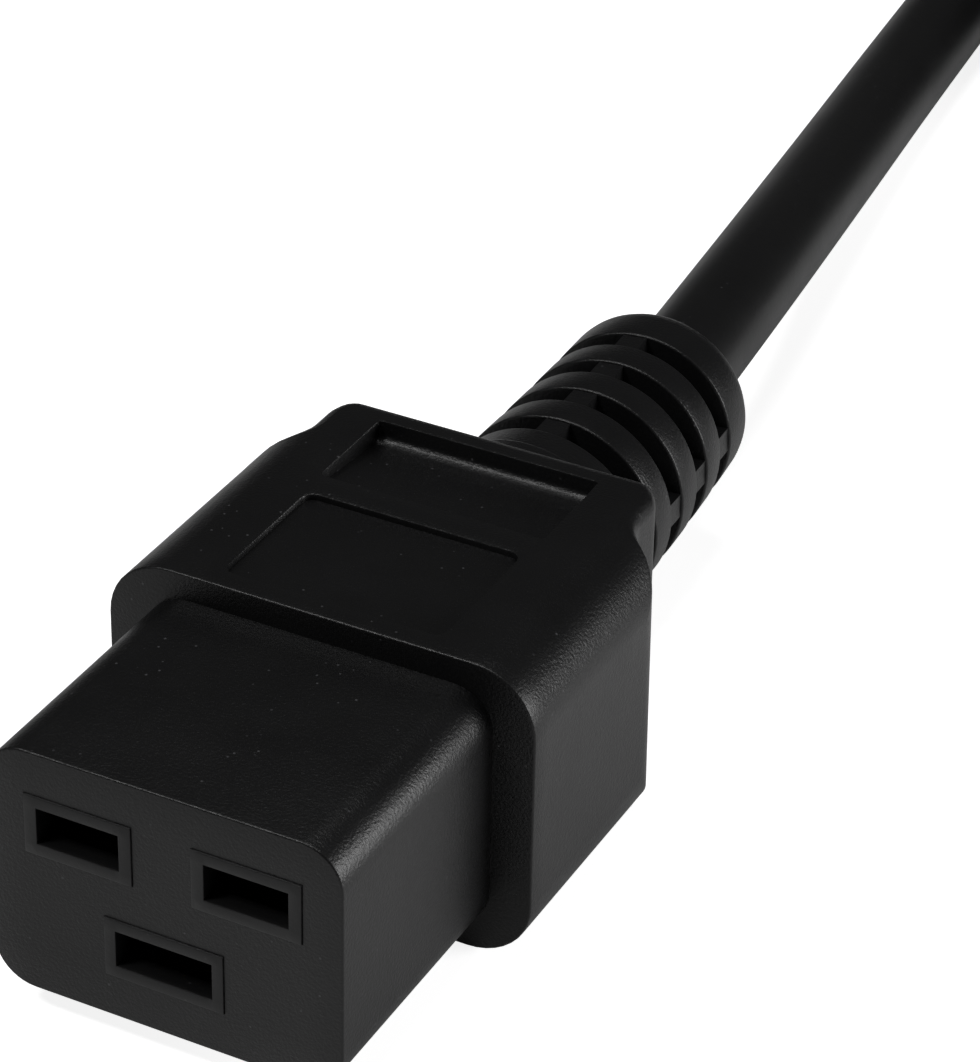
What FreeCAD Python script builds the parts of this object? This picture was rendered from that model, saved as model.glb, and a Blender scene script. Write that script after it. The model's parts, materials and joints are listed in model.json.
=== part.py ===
import FreeCAD, Part
import math
import os
import Sketcher

Vector = FreeCAD.Vector
Placement = FreeCAD.Placement
Rotation = FreeCAD.Rotation

doc = FreeCAD.newDocument("PowerLead")

# ---------------------------------------------------------------- driving dimensions, in millimetres
# Each end of the lead is drawn in a frame of its own: the mating face is at y = 0, the cord leaves
# towards +y, and the axis of the cord is at x = 0, z = 0.
dimensions = {
    "nose_width": 27.5, "nose_height": 19.9, "nose_length": 20.9, "nose_radius": 3.2,
    "body_width": 34.0, "body_height": 24.1, "body_length": 27.7, "body_radius": 5.0,
    "shoulder_start": 38.6, "shoulder_end": 44.6, "shoulder_lean": 0.03, "grip_width": 27.2,
    "edge_bevel": 0.2, "grip_edge_radius": 2.6, "rear_edge_radius": 1.2,
    "label_width": 17.4, "label_front": 22.8, "label_rear": 34.8, "label_depth": 0.5,
    "thumb_width": 18.2, "thumb_front": 37.4, "thumb_rear": 46.3,
    "thumb_front_depth": 0.8, "thumb_wall": 1.0, "thumb_depth": 1.7, "thumb_slope": 0.8,
    "pole_spacing": 13.0, "pole_height": 4.1, "earth_height": -4.0,
    "pole_slot": 6.4, "earth_slot": 7.5, "slot_height": 2.9, "slot_mouth": 1.4,
    "pole_sleeve": 8.4, "earth_sleeve": 9.3, "sleeve_height": 4.8, "sleeve_proud": 0.15,
    "pole_cavity": 7.1, "earth_cavity": 8.2, "cavity_height": 3.8,
    "carrier_width": 23.6, "carrier_depth": 15.6, "carrier_front": 14.0, "carrier_length": 5.5,
    "filler_length": 12.5, "filler_end": 46.0, "filler_end_width": 12.0, "filler_end_height": 10.0,
    "cord_diameter": 8.7, "cord_gap": 0.05, "sheath_end": 50.6,
    "relief_collar_radius": 9.2, "relief_collar_end": 53.2, "relief_radius": 8.6,
    "relief_taper": 0.024, "relief_first_slot": 56.55, "relief_slot": 1.65, "relief_pitch": 5.17,
    "relief_rib": 2.3, "relief_rib_inset": 0.3,
    "relief_edge": 0.45, "relief_front_edge": 0.27, "relief_end_bevel": 1.3, "relief_rib_overlap": 1.2,
    "relief_end": 80.4, "connector_middle": 40.4,
    "core_radius": 1.5, "conductor_radius": 0.8, "core_circle": 1.8,
    "contact_start": 4.6, "contact_length": 12.2, "contact_height": 3.6, "contact_sheet": 0.4,
    "pole_contact": 6.9, "earth_contact": 8.0, "contact_gap": 1.7,
    "crimp_length": 4.2, "grip_crimp_gap": 1.0, "grip_crimp_length": 2.6,
    "crimp_radius": 1.35, "grip_crimp_radius": 1.9, "crimp_pocket_radius": 2.35,
    "strip_width": 2.0, "strip_thickness": 0.5, "strip_drop": 1.75, "strip_lead": 0.6,
    "foot_thickness": 1.0, "foot_drop": 1.4, "foot_hollow": 1.1,
    "neck_width": 2.8, "neck_overlap": 1.0, "pin_neck_thickness": 2.0, "pin_neck_drop": 0.8,
    "seam_width": 0.5, "leaf_margin": 0.4,
    "plug_width": 34.0, "plug_height": 26.1, "plug_length": 48.6, "plug_radius": 4.5,
    "plug_cavity_width": 28.2, "plug_cavity_height": 20.5, "plug_cavity_depth": 20.0,
    "plug_cavity_radius": 3.4,
    "pole_pin": 6.0, "earth_pin": 7.0, "pin_thickness": 2.0, "pole_pin_tip": 3.0, "earth_pin_tip": 1.0,
    "pin_chamfer": 0.6,
    "coil_turn": 45.8, "coil_x": 38.5, "coil_y": 192.0, "coil_gap": 0.3,
    "coil_rim_bevel": 2.0, "coil_way_length": 45.0, "plug_setback": 42.0,
    "tie_width": 12.0, "tie_thickness": 1.0, "tie_corner": 2.0, "tie_notch_gap": 0.5,
}
sheet = doc.addObject("Spreadsheet::Sheet", "Dimensions")
for row, (alias, number) in enumerate(dimensions.items(), start=1):
    sheet.set(f"A{row}", alias)
    sheet.set(f"B{row}", str(number))
    sheet.setAlias(f"B{row}", alias)
doc.recompute()


def size(alias):
    return float(getattr(sheet, alias))


def cell(expression):
    """The sheet's own name in front of every word of an expression that is an alias."""
    words = []
    for word in expression.replace("(", " ( ").replace(")", " ) ").split():
        words.append(f"Dimensions.{word}" if word in dimensions else word)
    return " ".join(words)


def bind(thing, **expressions):
    for name, expression in expressions.items():
        thing.setExpression(name.replace("__", "."), cell(expression))


def plane(body, role):
    return next(item for item in body.Origin.OriginFeatures if item.Role == role)


def new_body(name):
    body = doc.addObject("PartDesign::Body", name)
    body.Label = name
    return body


# ---------------------------------------------------------------- sketches and features
def centred_rectangle(sketch, width, height):
    """A rectangle about the sketch's origin, its two sizes bound to the sheet."""
    corners = [Vector(-1, -1, 0), Vector(1, -1, 0), Vector(1, 1, 0), Vector(-1, 1, 0)]
    for start, end in zip(corners, corners[1:] + corners[:1]):
        sketch.addGeometry(Part.LineSegment(start, end), False)
    for side in range(4):
        sketch.addConstraint(Sketcher.Constraint("Coincident", side, 2, (side + 1) % 4, 1))
    for side in (0, 2):
        sketch.addConstraint(Sketcher.Constraint("Horizontal", side))
        sketch.addConstraint(Sketcher.Constraint("Vertical", side + 1))
    sketch.addConstraint(Sketcher.Constraint("Symmetric", 0, 1, 2, 1, -1, 1))
    across = sketch.addConstraint(Sketcher.Constraint("DistanceX", 0, 1, 0, 2, 2.0))
    up = sketch.addConstraint(Sketcher.Constraint("DistanceY", 1, 1, 1, 2, 2.0))
    sketch.renameConstraint(across, "across")
    sketch.renameConstraint(up, "up")
    bind(sketch, Constraints__across=width, Constraints__up=height)


def cross_sketch(body, name, start, x="0 mm", z="0 mm"):
    """An empty sketch across the cord's axis: its x is x, its y is z, and it lies at y = start."""
    sketch = body.newObject("Sketcher::SketchObject", name)
    sketch.AttachmentSupport = [(plane(body, "XZ_Plane"), "")]
    sketch.MapMode = "FlatFace"
    bind(sketch, AttachmentOffset__Base__x=f"{x} * 1 mm" if "mm" not in x else x)
    bind(sketch, AttachmentOffset__Base__y=f"{z} * 1 mm" if "mm" not in z else z)
    bind(sketch, AttachmentOffset__Base__z=f"-1 mm * ( {start} )")
    return sketch


def block(body, name, width, height, start, length, x="0 mm", z="0 mm", cut=False):
    """A rectangular pad, or pocket, that runs from y = start towards +y."""
    sketch = cross_sketch(body, name + "_outline", start, x, z)
    centred_rectangle(sketch, f"{width} * 1 mm", f"{height} * 1 mm")
    doc.recompute()
    before = body.Shape.Volume if cut else 0.0
    feature = body.newObject("PartDesign::Pocket" if cut else "PartDesign::Pad", name)
    feature.Profile = sketch
    feature.Reversed = not cut
    bind(feature, Length=f"{length} * 1 mm")
    doc.recompute()
    if cut and body.Shape.Volume >= before:
        raise ValueError(f"{name} cuts nothing")
    sketch.Visibility = False
    return feature


def edges_where(shape, test):
    return [f"Edge{index}" for index, edge in enumerate(shape.Edges, start=1) if test(edge)]


def runs_along(edge, axis):
    """True for a straight edge along that axis."""
    ends = [vertex.Point for vertex in edge.Vertexes]
    if len(ends) != 2 or edge.Length < 1e-6:
        return False
    span = ends[1] - ends[0]
    return abs(span.Length - edge.Length) < 1e-6 and abs(abs(span.dot(axis)) - span.Length) < 1e-6


def rounded(body, name, test, radius, bevel=False):
    """A fillet, or a bevel, on the edges of the body's tip that pass the test."""
    tip = body.Tip
    names = edges_where(tip.Shape, test)
    if not names:
        raise ValueError(f"{name} finds no edge")
    feature = body.newObject("PartDesign::Chamfer" if bevel else "PartDesign::Fillet", name)
    feature.Base = (tip, names)
    bind(feature, **{"Size" if bevel else "Radius": f"{radius} * 1 mm"})
    doc.recompute()
    return feature


X_AXIS, Y_AXIS, Z_AXIS = Vector(1, 0, 0), Vector(0, 1, 0), Vector(0, 0, 1)


# ---------------------------------------------------------------- smooth rods: cores, sheath and bores
def smooth_path(points):
    """Straight runs joined by tangent arcs, each as large as its two runs allow."""
    edges = []
    radii = []
    at = points[0]
    for before, corner, after in zip(points, points[1:], points[2:]):
        towards = (corner - before).normalize()
        away = (after - corner).normalize()
        half_turn = towards.getAngle(away) / 2
        reach = 0.45 * min((corner - before).Length, (after - corner).Length)
        radius = reach / math.tan(half_turn)
        middle = corner + (away - towards).normalize() * (radius / math.cos(half_turn) - radius)
        arc_start = corner - towards * reach
        arc_end = corner + away * reach
        edges.append(Part.LineSegment(at, arc_start).toShape())
        edges.append(Part.Arc(arc_start, middle, arc_end).toShape())
        radii.append(radius)
        at = arc_end
    edges.append(Part.LineSegment(at, points[-1]).toShape())
    return Part.Wire(edges), radii


def swept(path, start, heading, radius, mitred):
    """A round section swept along the path, and its volume checked."""
    section = Part.Wire([Part.Circle(start, heading, radius).toShape()])
    solid = path.makePipeShell([section], True, False, 1 if mitred else 0)
    expected = math.pi * radius ** 2 * path.Length
    if abs(solid.Volume - expected) > 0.01 * expected:
        raise ValueError(f"rod of {solid.Volume:.1f} mm3, not {expected:.1f} mm3")
    return solid


def rod(points, radius):
    """A round rod along the smooth path through the points."""
    path, radii = smooth_path(points)
    return swept(path, points[0], points[1] - points[0], radius, False), path.Length, radii


def bent_rod(points, radius):
    """A thin round rod of straight runs with mitred bends."""
    return swept(Part.makePolygon(points), points[0], points[1] - points[0], radius, True)


def shape_object(name, shape):
    thing = doc.addObject("Part::Feature", name)
    thing.Shape = shape
    thing.Label = name
    return thing


# ---------------------------------------------------------------- where the two ends lie
# The connector stands on its flat underside with the middle of its length at the origin.
connector_place = Vector(0, -size("connector_middle"), size("body_height") / 2)
cord_radius = size("cord_diameter") / 2
coil_outer_turn = size("coil_turn") + size("cord_diameter")
coil_inner_turn = size("coil_turn") - size("cord_diameter")
coil_centre = Vector(size("coil_x"), size("coil_y"), 0)
lower_layer = cord_radius
upper_layer = cord_radius + size("cord_diameter")
plug_back = coil_centre.y - size("plug_setback")
plug_place = Vector(coil_centre.x + coil_outer_turn, plug_back - size("relief_end"), upper_layer)

# The free cord, from inside the connector's strain relief to where the coil starts. The points are
# chosen by hand: straight out, a slight lean to the left, then a slow drop to the surface.
cord_route = [
    Vector(0.0, size("sheath_end"), 0.0) + connector_place,
    Vector(0.0, 26.1, 12.05),
    Vector(-3.0, 56.8, 11.3),
    Vector(-8.0, 88.8, 7.6),
    Vector(-12.6, 119.8, 4.75),
    Vector(coil_centre.x - coil_outer_turn, 156.5, lower_layer),
    Vector(coil_centre.x - coil_outer_turn, coil_centre.y, lower_layer),
]
relief_route = [point - connector_place for point in cord_route]


# ---------------------------------------------------------------- slotted strain relief
def straight_station(distance):
    """The placement of a strain relief's section at that distance behind the mating face."""
    return Placement(Vector(0, distance, 0), Rotation(X_AXIS, -90))


def leaning_station(distance):
    """The same on the connector, where the relief follows the cord as it leans sideways."""
    path = smooth_path(relief_route)[0]
    along = distance - size("sheath_end")
    for edge in path.Edges:
        if along <= edge.Length:
            parameter = edge.getParameterByLength(max(along, 0.0))
            heading = edge.tangentAt(parameter)
            return Placement(edge.valueAt(parameter), Rotation(Z_AXIS, heading))
        along -= edge.Length
    raise ValueError("the relief is longer than the cord")


def relief_radius_at(distance):
    return size("relief_radius") - size("relief_taper") * (distance - size("relief_first_slot"))


def relief_ring(name, station, start, end, radius, front_edge, rear_edge):
    """One ring: a short cylinder across the cord with both rims bevelled."""
    cylinder = doc.addObject("Part::Cylinder", name + "_blank")
    cylinder.Radius = radius
    cylinder.Height = end - start
    cylinder.Placement = station(start)
    doc.recompute()
    rims = [index for index, edge in enumerate(cylinder.Shape.Edges, start=1) if edge.Closed
            and edge.Curve.TypeId == "Part::GeomCircle"]
    rims.sort(key=lambda index: cylinder.Shape.Edges[index - 1].CenterOfMass.y)
    ring = doc.addObject("Part::Chamfer", name)
    ring.Base = cylinder
    ring.Edges = [(rims[0], front_edge, front_edge), (rims[1], rear_edge, rear_edge)]
    return ring


def relief_cross(name, station, start, end, radius):
    """The four ribs that bridge one row of slots, as two bars crossing on the axis."""
    bars = []
    for turn in (0, 90):
        bar = doc.addObject("Part::Box", f"{name}_bar_{turn}")
        bind(bar, Width="relief_rib * 1 mm")
        bar.Length = 2 * radius
        bar.Height = end - start
        shift = Placement(Vector(-radius, -size("relief_rib") / 2, 0), Rotation())
        bar.Placement = station(start) * Placement(Vector(), Rotation(Z_AXIS, turn)) * shift
        bars.append(bar)
    return bars


def strain_relief(prefix, station):
    """Collar, five rings and the ribs between them."""
    collar_end = size("relief_collar_end")
    pitch, slot = size("relief_pitch"), size("relief_slot")
    edge, front_edge = size("relief_edge"), size("relief_front_edge")
    slots = [size("relief_first_slot") + row * pitch for row in range(4)]
    pieces = []
    collar = doc.addObject("Part::Cylinder", prefix + "_collar")
    bind(collar, Radius="relief_collar_radius * 1 mm")
    collar.Height = collar_end - size("shoulder_end")
    collar.Placement = straight_station(size("shoulder_end"))
    pieces.append(collar)
    starts = [size("shoulder_end")] + [start + slot for start in slots]
    ends = slots + [size("relief_end")]
    for number, (start, end) in enumerate(zip(starts, ends)):
        last = number == len(starts) - 1
        rear = size("relief_end_bevel") if last else edge
        name = f"{prefix}_ring_{number}"
        radius = relief_radius_at((start + end) / 2) if number else relief_radius_at(end)
        pieces.append(relief_ring(name, station, start, end, radius, front_edge, rear))
    overlap = size("relief_rib_overlap")
    for number, start in enumerate(slots):
        radius = relief_radius_at(start) - size("relief_rib_inset")
        pieces += relief_cross(f"{prefix}_ribs_{number}", station, start - overlap,
                               start + slot + overlap, radius)
    return pieces


# ---------------------------------------------------------------- the rear grip shared by both ends
def shoulder_cut(body, name):
    """The S-shaped step in from full width to the narrow grip, on both sides. It leans a little
    forwards towards the top."""
    half, grip = size("body_width") / 2, size("grip_width") / 2
    start, end = size("shoulder_start"), size("shoulder_end")
    step = half - grip
    radius = (step ** 2 + (end - start) ** 2) / (4 * step)
    turn = 2 * math.atan2(step, end - start)
    back, side = size("nose_length") + size("body_length") + 2, half + 3

    def arc(centre, angle_from, angle_to):
        return Part.ArcOfCircle(Part.Circle(centre, Z_AXIS, radius), angle_from, angle_to)

    sketch = body.newObject("Sketcher::SketchObject", name + "_outline")
    sketch.AttachmentSupport = [(plane(body, "XY_Plane"), "")]
    sketch.MapMode = "FlatFace"
    middle = Vector((half + grip) / 2, (start + end) / 2, 0)
    convex = arc(Vector(half - radius, start, 0), 0, turn)
    concave = arc(Vector(grip + radius, end, 0), math.pi, math.pi + turn)
    outline = [
        Part.LineSegment(Vector(side, start, 0), Vector(half, start, 0)),
        convex,
        concave,
        Part.LineSegment(Vector(grip, end, 0), Vector(grip, back, 0)),
        Part.LineSegment(Vector(grip, back, 0), Vector(side, back, 0)),
        Part.LineSegment(Vector(side, back, 0), Vector(side, start, 0)),
    ]
    if (convex.EndPoint - middle).Length > 1e-6:
        raise ValueError("the shoulder's two arcs don't meet")
    sketch.addGeometry(outline, False)
    doc.recompute()
    before = body.Shape.Volume
    pocket = body.newObject("PartDesign::Pocket", name)
    pocket.Profile = sketch
    pocket.Type = 1
    pocket.Midplane = True
    pocket.UseCustomVector = True
    pocket.Direction = Vector(0, -size("shoulder_lean"), 1)
    doc.recompute()
    other_side = body.newObject("PartDesign::Mirrored", name + "_mirrored")
    other_side.Originals = [pocket]
    other_side.MirrorPlane = (plane(body, "YZ_Plane"), [""])
    body.Tip = other_side
    doc.recompute()
    if body.Shape.Volume >= before:
        raise ValueError(f"{name} cuts nothing")


def top_recesses(body, top):
    """The shallow panel and the deeper thumb hollow on the top face."""
    panel = body.newObject("Sketcher::SketchObject", "panel_outline")
    panel.AttachmentSupport = [(plane(body, "XY_Plane"), "")]
    panel.MapMode = "FlatFace"
    bind(panel, AttachmentOffset__Base__y="( label_front + label_rear ) / 2 * 1 mm",
         AttachmentOffset__Base__z=f"{top} / 2 * 1 mm")
    centred_rectangle(panel, "label_width * 1 mm", "( label_rear - label_front ) * 1 mm")
    doc.recompute()
    pocket = body.newObject("PartDesign::Pocket", "panel_recess")
    pocket.Profile = panel
    bind(pocket, Length="label_depth * 1 mm")
    doc.recompute()
    roof = size(top) / 2
    front, rear, slope = size("thumb_front"), size("thumb_rear"), size("thumb_slope")
    profile = [
        Vector(front, roof + 1, 0), Vector(front, roof - size("thumb_front_depth"), 0),
        Vector(rear - slope, roof - size("thumb_depth"), 0), Vector(rear, roof - size("thumb_wall"), 0),
        Vector(rear, roof + 1, 0),
    ]
    thumb = body.newObject("Sketcher::SketchObject", "thumb_outline")
    thumb.AttachmentSupport = [(plane(body, "YZ_Plane"), "")]
    thumb.MapMode = "FlatFace"
    for start, end in zip(profile, profile[1:] + profile[:1]):
        thumb.addGeometry(Part.LineSegment(start, end), False)
    doc.recompute()
    before = body.Shape.Volume
    hollow = body.newObject("PartDesign::Pocket", "thumb_hollow")
    hollow.Profile = thumb
    hollow.Midplane = True
    bind(hollow, Length="thumb_width * 1 mm")
    doc.recompute()
    if body.Shape.Volume >= before:
        raise ValueError("the thumb hollow cuts nothing")


def body_details(body, height, rear):
    """The rounded corners and rims of the grip behind the shoulders."""
    half_height = size(height) / 2

    def on_rear(edge):
        return all(abs(vertex.Point.y - rear) < 1e-6 for vertex in edge.Vertexes)

    rounded(body, "rear_corners", lambda edge: runs_along(edge, Z_AXIS) and on_rear(edge), "grip_edge_radius")

    def on_grip_side(edge):
        middle = edge.valueAt((edge.FirstParameter + edge.LastParameter) / 2)
        behind = min(vertex.Point.y for vertex in edge.Vertexes) > size("shoulder_start") - 1.0
        flat = abs(middle.z) > half_height - size("body_radius")
        return behind and flat and not on_rear(edge) and not runs_along(edge, Z_AXIS) and \
            abs(middle.x) > size("grip_width") / 2 - 2.5 and middle.y < rear - 0.01

    rounded(body, "grip_rims", on_grip_side, "rear_edge_radius")


# ---------------------------------------------------------------- connector mouldings
def connector_blank():
    body = new_body("connector_blank")
    block(body, "nose", "nose_width", "nose_height", "0", "( nose_length + 2 )")
    rounded(body, "nose_corners", lambda edge: runs_along(edge, Y_AXIS), "nose_radius")
    block(body, "flange", "body_width", "body_height", "nose_length", "body_length")

    def flange_corner(edge):
        return runs_along(edge, Y_AXIS) and abs(abs(edge.CenterOfMass.x) - size("body_width") / 2) < 1e-6

    def front_rim(edge):
        at_front = all(abs(vertex.Point.y) < 1e-6 for vertex in edge.Vertexes)
        at_flange = all(abs(vertex.Point.y - size("nose_length")) < 1e-6 for vertex in edge.Vertexes)
        middle = edge.valueAt((edge.FirstParameter + edge.LastParameter) / 2)
        beside = abs(middle.x) > size("nose_width") / 2 + 0.5
        above = abs(middle.z) > size("nose_height") / 2 + 0.5
        return at_front or at_flange and (beside or above)

    rounded(body, "flange_corners", flange_corner, "body_radius")
    rounded(body, "front_rims", front_rim, "edge_bevel", bevel=True)
    shoulder_cut(body, "shoulder")
    body_details(body, "body_height", size("nose_length") + size("body_length"))
    top_recesses(body, "body_height")
    return body


def fused(name, pieces):
    union = doc.addObject("Part::MultiFuse", name)
    union.Shapes = pieces
    return union


def cut_away(name, base, tools):
    """The base less all the tools, as an object that carries the sub-part's own label."""
    result = doc.addObject("Part::Cut", name)
    result.Label = name
    result.Base = base
    result.Tool = tools[0] if len(tools) == 1 else fused(name + "_tools", tools)
    return result


def moved(place, items):
    """Shift finished objects from their end's own frame to where that end lies."""
    for item in items:
        item.Placement = Placement(place, Rotation()) * item.Placement


# ---------------------------------------------------------------- poles: where each contact or pin sits
# Along each end: where the crimps start, where the cores turn inwards and where they lie side by side.
connector_end = {"prefix": "", "crimps": 20.6, "turn": 32.0, "meet": 42.0}
plug_end = {"prefix": "plug_", "crimps": 27.2, "turn": 38.0, "meet": 46.0}
pole_x = size("pole_spacing") / 2
poles = {
    "line": {"x": -pole_x, "z": size("pole_height"), "angle": 150, "kind": "pole"},
    "neutral": {"x": pole_x, "z": size("pole_height"), "angle": 30, "kind": "pole"},
    "earth": {"x": 0.0, "z": size("earth_height"), "angle": 270, "kind": "earth"},
}


def grip_start(end):
    return end["crimps"] + size("crimp_length") + size("grip_crimp_gap")


def core_route(end, pole, start):
    """From a crimp, inwards to the core's place in the sheath."""
    angle = math.radians(pole["angle"])
    inner_x, inner_z = size("core_circle") * math.cos(angle), size("core_circle") * math.sin(angle)
    return [
        Vector(pole["x"], start, pole["z"]),
        Vector(pole["x"], end["turn"], pole["z"]),
        Vector(inner_x, end["meet"], inner_z),
        Vector(inner_x, size("sheath_end"), inner_z),
    ]


def pole_conductor(end, name):
    shape = bent_rod(core_route(end, poles[name], end["crimps"]), size("conductor_radius"))
    return shape_object(f"{end['prefix']}{name}_conductor", shape)


def pole_core(end, name):
    """The insulation round one conductor, from the grip crimp to the end of the sheath."""
    route = core_route(end, poles[name], grip_start(end))
    hollow = bent_rod(route, size("core_radius")).cut(bent_rod(route, size("conductor_radius")))
    return shape_object(f"{end['prefix']}{name}_core", hollow)


def tube_along_y(outer, inner, start, length, x, z):
    base = Vector(x, start, z)
    return Part.makeCylinder(outer, length, base, Y_AXIS).cut(Part.makeCylinder(inner, length, base, Y_AXIS))


def box_about(width, height, start, length, x, z):
    corner = Vector(x - width / 2, start, z - height / 2)
    return Part.makeBox(width, length, height, corner)


def crimps(end, x, z):
    """Wire crimp, insulation grip and the strip of metal that joins them below."""
    wire_start, wire_length = end["crimps"], size("crimp_length")
    grip_length = size("grip_crimp_length")
    wire = tube_along_y(size("crimp_radius"), size("conductor_radius"), wire_start, wire_length, x, z)
    grip = tube_along_y(size("grip_crimp_radius"), size("core_radius"), grip_start(end), grip_length, x, z)
    strip_start = wire_start - size("strip_lead")
    strip_length = grip_start(end) + grip_length - strip_start
    strip = box_about(size("strip_width"), size("strip_thickness"), strip_start, strip_length,
                      x, z - size("strip_drop"))
    foot = box_about(size("strip_width"), size("foot_thickness"), wire_start, wire_length,
                     x, z - size("foot_drop"))
    foot = foot.cut(Part.makeCylinder(size("foot_hollow"), wire_length, Vector(x, wire_start, z), Y_AXIS))
    return wire.fuse([grip, strip, foot]).removeSplitter()


def female_contact(end, name):
    """Folded spring contact: a seamed box with a bowed leaf above and below the blade's way."""
    pole = poles[name]
    x, z = pole["x"], pole["z"]
    width, height = size(pole["kind"] + "_contact"), size("contact_height")
    thick, start, length = size("contact_sheet"), size("contact_start"), size("contact_length")
    box = box_about(width, height, start, length, x, z)
    box = box.cut(box_about(width - 2 * thick, height - 2 * thick, start, length, x, z))
    seam = box_about(size("seam_width"), 2 * thick, start, length, x, z - height / 2)
    box = box.cut(seam)
    margin = size("leaf_margin")
    leaves = []
    for side in (-1, 1):
        wall = z + side * (height / 2 - thick / 2)
        crest = z + side * (size("contact_gap") / 2 + thick)
        ends = (start + margin, start + length - margin)
        middle = (ends[0] + ends[1]) / 2
        inner = Part.Arc(Vector(x, ends[0], wall - side * thick / 2), Vector(x, middle, crest - side * thick),
                         Vector(x, ends[1], wall - side * thick / 2)).toShape()
        outer = Part.Arc(Vector(x, ends[0], wall), Vector(x, middle, crest),
                         Vector(x, ends[1], wall)).toShape()
        sides = [Part.makeLine(inner.Vertexes[i].Point, outer.Vertexes[i].Point) for i in (0, 1)]
        face = Part.Face(Part.Wire(Part.__sortEdges__([inner, outer] + sides)))
        leaf_width = width - 2 * thick - 2 * margin
        leaf = face.extrude(Vector(leaf_width, 0, 0))
        leaf.translate(Vector(-leaf_width / 2, 0, 0))
        leaves.append(leaf)
    floor = z - size("contact_height") / 2 + thick / 2
    box_end = start + length
    overlap = size("neck_overlap")
    neck_length = end["crimps"] - box_end + 2 * overlap
    neck = box_about(size("neck_width"), thick, box_end - overlap, neck_length, x, floor)
    body = box.fuse(leaves + [neck, crimps(end, x, z)]).removeSplitter()
    return shape_object(f"{end['prefix']}{name}_contact", body)


def blade_pin(end, name):
    """A flat pin with a bevelled tip, and its crimps behind the insert."""
    pole = poles[name]
    x, z, kind = pole["x"], pole["z"], pole["kind"]
    width, thick, tip = size(kind + "_pin"), size("pin_thickness"), size(kind + "_pin_tip")
    rear = size("plug_cavity_depth") + size("carrier_length")
    blade = box_about(width, thick, tip, rear - tip, x, z)

    def at_tip(edge):
        return all(abs(vertex.Point.y - tip) < 1e-6 for vertex in edge.Vertexes)

    blade = blade.makeChamfer(size("pin_chamfer"), [edge for edge in blade.Edges if at_tip(edge)])
    neck = box_about(size("neck_width"), size("pin_neck_thickness"), rear,
                     end["crimps"] - rear - size("strip_thickness"), x, z - size("pin_neck_drop"))
    pin = blade.fuse([neck, crimps(end, x, z)]).removeSplitter()
    return shape_object(f"{end['prefix']}{name}_pin", pin)


# ---------------------------------------------------------------- contact carrier and inner filler
def slots_through(body, name, sizes, height, start, length, cut):
    for pole_name, pole in poles.items():
        z = "earth_height" if pole_name == "earth" else "pole_height"
        x = {"line": "-0.5 * pole_spacing", "neutral": "0.5 * pole_spacing", "earth": "0 mm"}[pole_name]
        width = sizes[pole["kind"]]
        block(body, f"{name}_{pole_name}", width, height, start, length, x, z, cut)


def carrier_blank():
    """Base plate with three sleeves that reach the mating face."""
    body = new_body("carrier_blank")
    block(body, "base_plate", "carrier_width", "carrier_depth", "carrier_front", "carrier_length")
    slots_through(body, "sleeve", {"pole": "pole_sleeve", "earth": "earth_sleeve"}, "sleeve_height",
                  "( 0 - sleeve_proud )", "( carrier_front + sleeve_proud + 1 )", False)
    return body


def contact_carrier(blank_body):
    """The carrier with its three slots: a narrow mouth, then the cavity that the contact sits in."""
    tools = new_body("carrier_slots")
    slots_through(tools, "mouth", {"pole": "pole_slot", "earth": "earth_slot"}, "slot_height",
                  "( 0 - 1 )", "( slot_mouth + 1.5 )", False)
    slots_through(tools, "cavity", {"pole": "pole_cavity", "earth": "earth_cavity"}, "cavity_height",
                  "slot_mouth", "( carrier_front + carrier_length )", False)
    return cut_away("contact_carrier", blank_body, [tools])


def filler_blank(name, start):
    """Inner moulding behind a carrier: a block that tapers to where the three cores meet."""
    body = new_body(name)
    block(body, "block", "carrier_width", "carrier_depth", start, "filler_length")
    sections = []
    for number, (width, height, at) in enumerate((
            ("carrier_width", "carrier_depth", f"{start} + filler_length"),
            ("filler_end_width", "filler_end_height", "filler_end"))):
        sketch = cross_sketch(body, f"taper_{number}", f"( {at} )")
        centred_rectangle(sketch, f"{width} * 1 mm", f"{height} * 1 mm")
        sections.append(sketch)
    doc.recompute()
    taper = body.newObject("PartDesign::AdditiveLoft", "taper")
    taper.Profile = sections[0]
    taper.Sections = [sections[1]]
    taper.Ruled = True
    doc.recompute()
    return body


def crimp_pockets(end, name, start):
    """Round pockets for the crimps, which the cores then fill."""
    pockets = []
    for pole_name, pole in poles.items():
        pocket = doc.addObject("Part::Cylinder", f"{name}_{pole_name}")
        bind(pocket, Radius="crimp_pocket_radius * 1 mm")
        pocket.Height = grip_start(end) + size("grip_crimp_length") - start
        pocket.Placement = Placement(Vector(pole["x"], start, pole["z"]), Rotation(X_AXIS, -90))
        pockets.append(pocket)
    return pockets


def core_ways(end, name):
    """Ways for the three cores through the mouldings."""
    ways = []
    for pole_name, pole in poles.items():
        way = bent_rod(core_route(end, pole, grip_start(end)), size("core_radius"))
        ways.append(shape_object(f"{name}_{pole_name}", way))
    return ways


def cord_way(name, route):
    """The bore that grips the sheath; it runs out past the end ring."""
    return shape_object(name, rod(route, cord_radius + size("cord_gap"))[0])


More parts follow.
